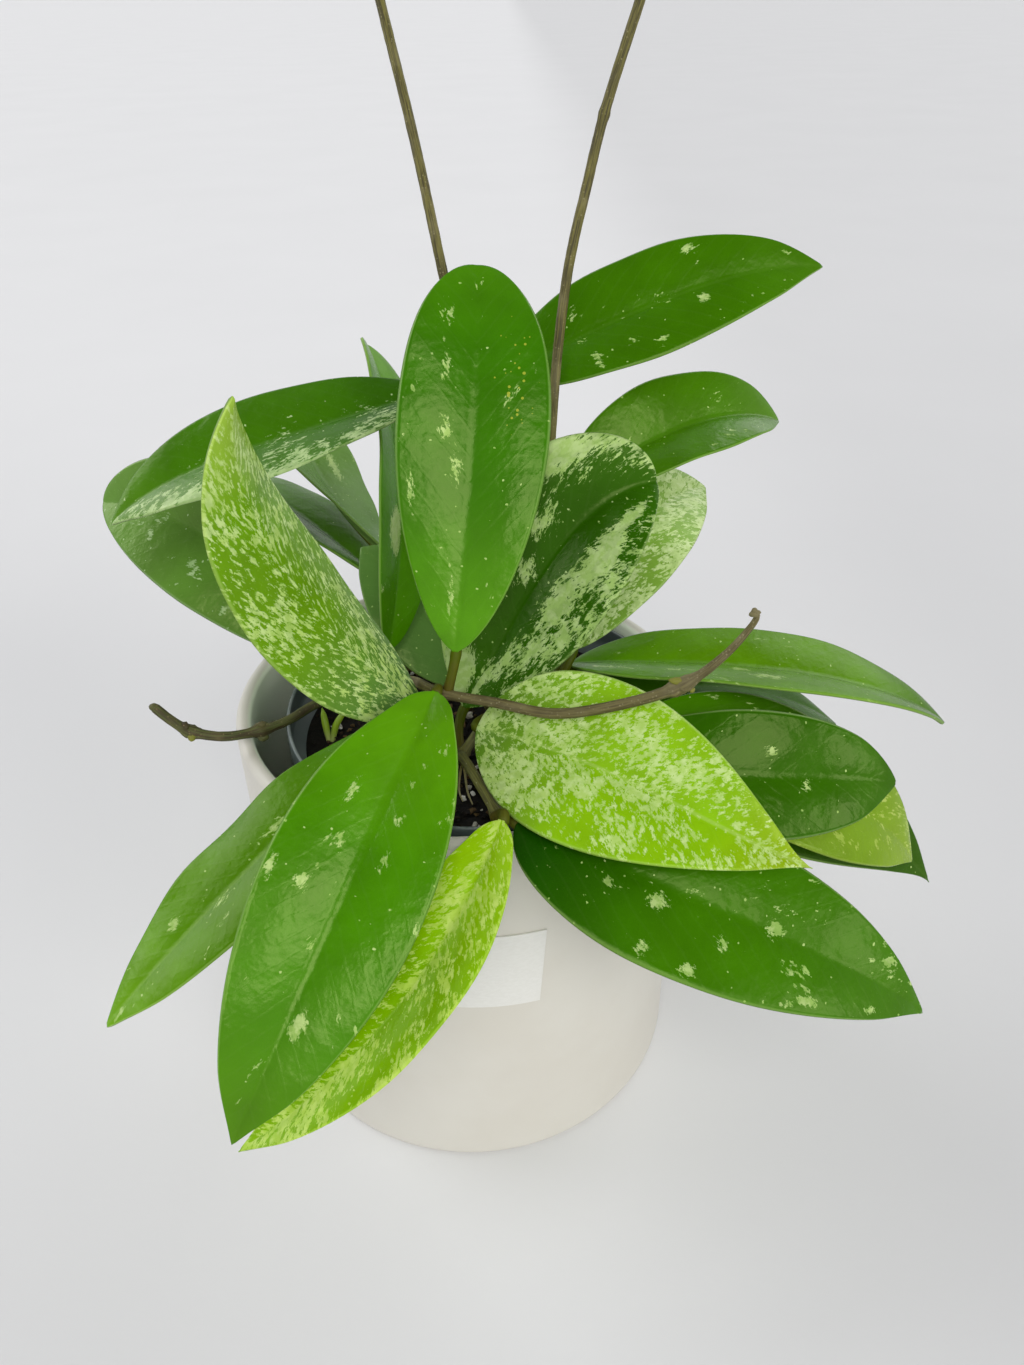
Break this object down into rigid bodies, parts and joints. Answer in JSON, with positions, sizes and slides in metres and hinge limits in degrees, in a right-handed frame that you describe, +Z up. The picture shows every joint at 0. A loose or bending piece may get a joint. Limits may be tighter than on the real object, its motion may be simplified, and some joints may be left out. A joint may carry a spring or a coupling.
{
  "type": "potted hoya plant",
  "caption": "Climbing hoya with thick pointed cream-splashed leaves on forked stems and tall bare vines, in a dark nursery pot inside a plain white cylindrical cover pot.",
  "frame": {"origin": "centre of the cover pot's flat underside, where it stands on the table", "axes": "+Z up; the plant's front, with the label, faces -Y; +X is on the right when the front is looked at"},
  "size_m": [0.2457, 0.2304, 0.3302],
  "materials": {
    "ceramic": "satin",
    "label_paper": "matte",
    "nursery_plastic": "satin",
    "soil": "matte",
    "shoot": "satin",
    "stem_bark": "matte",
    "leaf_bright": "satin",
    "leaf_dark": "satin",
    "leaf_splashed": "satin"
  },
  "bodies": {
    "root": {"cover_pot": "ceramic", "label": "label_paper", "nursery_pot": "nursery_plastic", "soil": "soil", "sprout": "shoot", "vine_left": "stem_bark", "vine_right": "stem_bark", "stem_arching": "stem_bark", "stem_stub_left": "stem_bark", "stem_fork": "stem_bark", "stem_front_left": "stem_bark", "stem_left": "stem_bark", "stem_back_left": "stem_bark", "stem_back": "stem_bark", "stem_right": "stem_bark", "leaf_centre_upright": "leaf_bright", "leaf_front_left_large": "leaf_bright", "leaf_left_raised": "leaf_splashed", "leaf_front_left_narrow": "leaf_bright", "leaf_left_arching": "leaf_dark", "leaf_right_high": "leaf_dark", "leaf_left_low": "leaf_dark", "leaf_back_edgewise": "leaf_dark", "leaf_back_left_pale": "leaf_bright", "leaf_back_left_dark": "leaf_dark", "leaf_back_low": "leaf_dark", "leaf_right_patched": "leaf_splashed", "leaf_right_pale": "leaf_splashed", "leaf_right_middle": "leaf_dark", "leaf_right_arching": "leaf_dark", "leaf_right_under": "leaf_dark", "leaf_right_rounded": "leaf_dark", "leaf_right_lime": "leaf_splashed", "leaf_right_narrow": "leaf_dark", "leaf_front_right_splashed": "leaf_splashed", "leaf_front_right_dark": "leaf_dark", "leaf_front_hanging": "leaf_splashed"}
  },
  "joints": []
}
